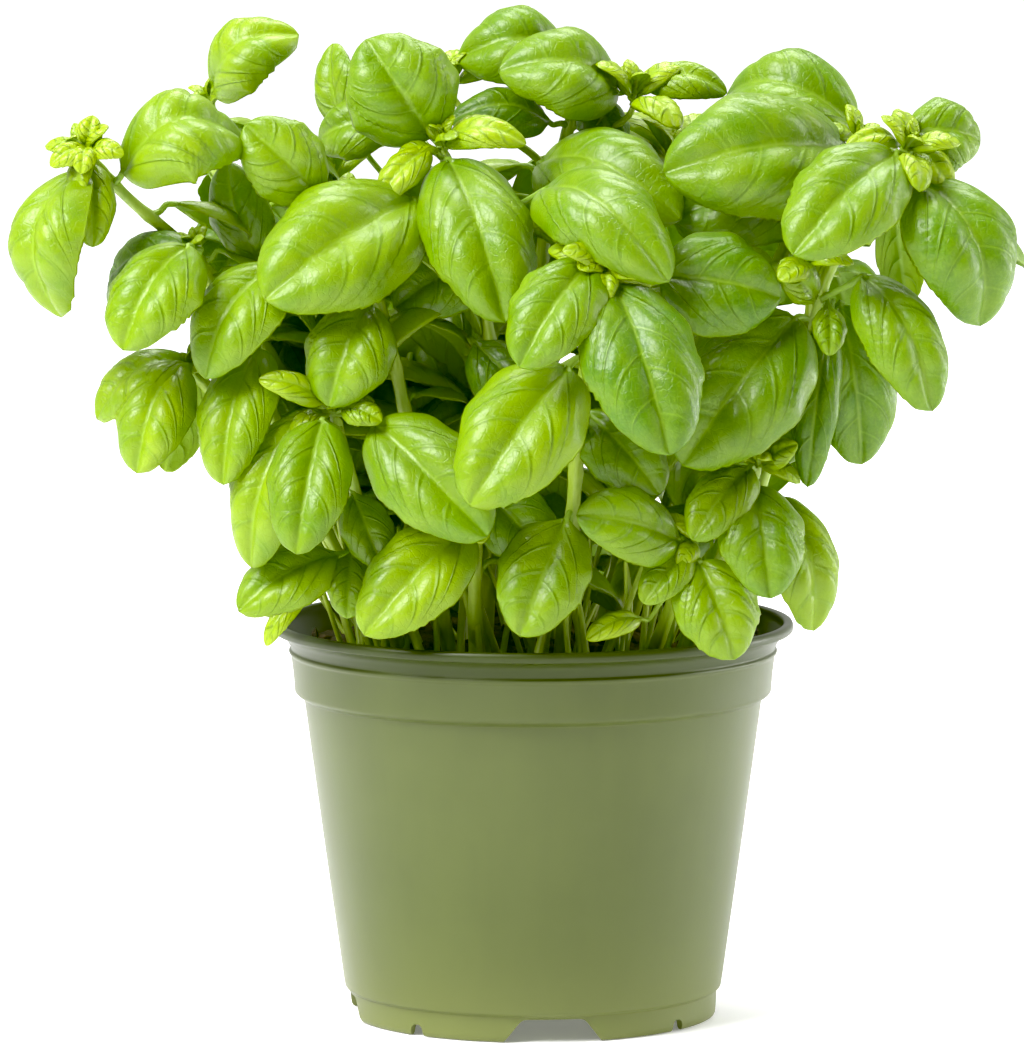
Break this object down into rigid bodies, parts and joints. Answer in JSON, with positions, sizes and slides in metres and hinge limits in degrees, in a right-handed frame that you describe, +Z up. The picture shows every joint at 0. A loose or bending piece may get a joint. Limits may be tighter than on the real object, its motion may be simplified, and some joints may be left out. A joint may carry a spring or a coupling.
{
  "type": "potted basil plant",
  "caption": "Bushy basil plant with glossy puckered leaves growing in a round tapered plastic nursery pot filled with soil.",
  "frame": {"origin": "on the surface the pot stands on, under the pot's axis", "axes": "+Z up along the pot's axis; -Y is the front of the plant"},
  "size_m": [0.2913, 0.2052, 0.2937],
  "materials": {
    "pot_plastic": "satin",
    "potting_soil": "matte",
    "stem_skin": "satin",
    "leaf_skin": "gloss"
  },
  "bodies": {
    "root": {"leaf_back_left_1": "leaf_skin", "leaf_back_left_2": "leaf_skin", "leaf_back_left_3": "leaf_skin", "leaf_back_right_1": "leaf_skin", "leaf_back_right_2": "leaf_skin", "leaf_back_right_3": "leaf_skin", "leaf_centre_left_1": "leaf_skin", "leaf_centre_left_2": "leaf_skin", "leaf_crown_1": "leaf_skin", "leaf_crown_2": "leaf_skin", "leaf_crown_3": "leaf_skin", "leaf_crown_4": "leaf_skin", "leaf_far_left_1": "leaf_skin", "leaf_far_left_2": "leaf_skin", "leaf_far_right_1": "leaf_skin", "leaf_far_right_2": "leaf_skin", "leaf_far_right_3": "leaf_skin", "leaf_far_right_4": "leaf_skin", "leaf_far_right_5": "leaf_skin", "leaf_far_right_6": "leaf_skin", "leaf_front_1": "leaf_skin", "leaf_front_2": "leaf_skin", "leaf_front_3": "leaf_skin", "leaf_front_4": "leaf_skin", "leaf_front_left_1": "leaf_skin", "leaf_front_left_2": "leaf_skin", "leaf_front_left_3": "leaf_skin", "leaf_left_1": "leaf_skin", "leaf_left_2": "leaf_skin", "leaf_low_front_1": "leaf_skin", "leaf_low_left_1": "leaf_skin", "leaf_low_right_1": "leaf_skin", "leaf_low_right_2": "leaf_skin", "leaf_right_top_1": "leaf_skin", "leaf_right_top_2": "leaf_skin", "leaf_right_top_3": "leaf_skin", "leaf_rim_right_1": "leaf_skin", "leaf_top_1": "leaf_skin", "leaf_top_2": "leaf_skin", "leaf_top_3": "leaf_skin", "leaf_upper_left_1": "leaf_skin", "leaf_upper_left_2": "leaf_skin", "pot": "pot_plastic", "soil": "potting_soil", "stem_back_left": "stem_skin", "stem_back_right": "stem_skin", "stem_centre_left": "stem_skin", "stem_crown": "stem_skin", "stem_far_left": "stem_skin", "stem_far_right": "stem_skin", "stem_front": "stem_skin", "stem_front_left": "stem_skin", "stem_left": "stem_skin", "stem_low_front": "stem_skin", "stem_low_left": "stem_skin", "stem_low_right": "stem_skin", "stem_right_top": "stem_skin", "stem_rim_right": "stem_skin", "stem_top": "stem_skin", "stem_upper_left": "stem_skin"}
  },
  "joints": []
}
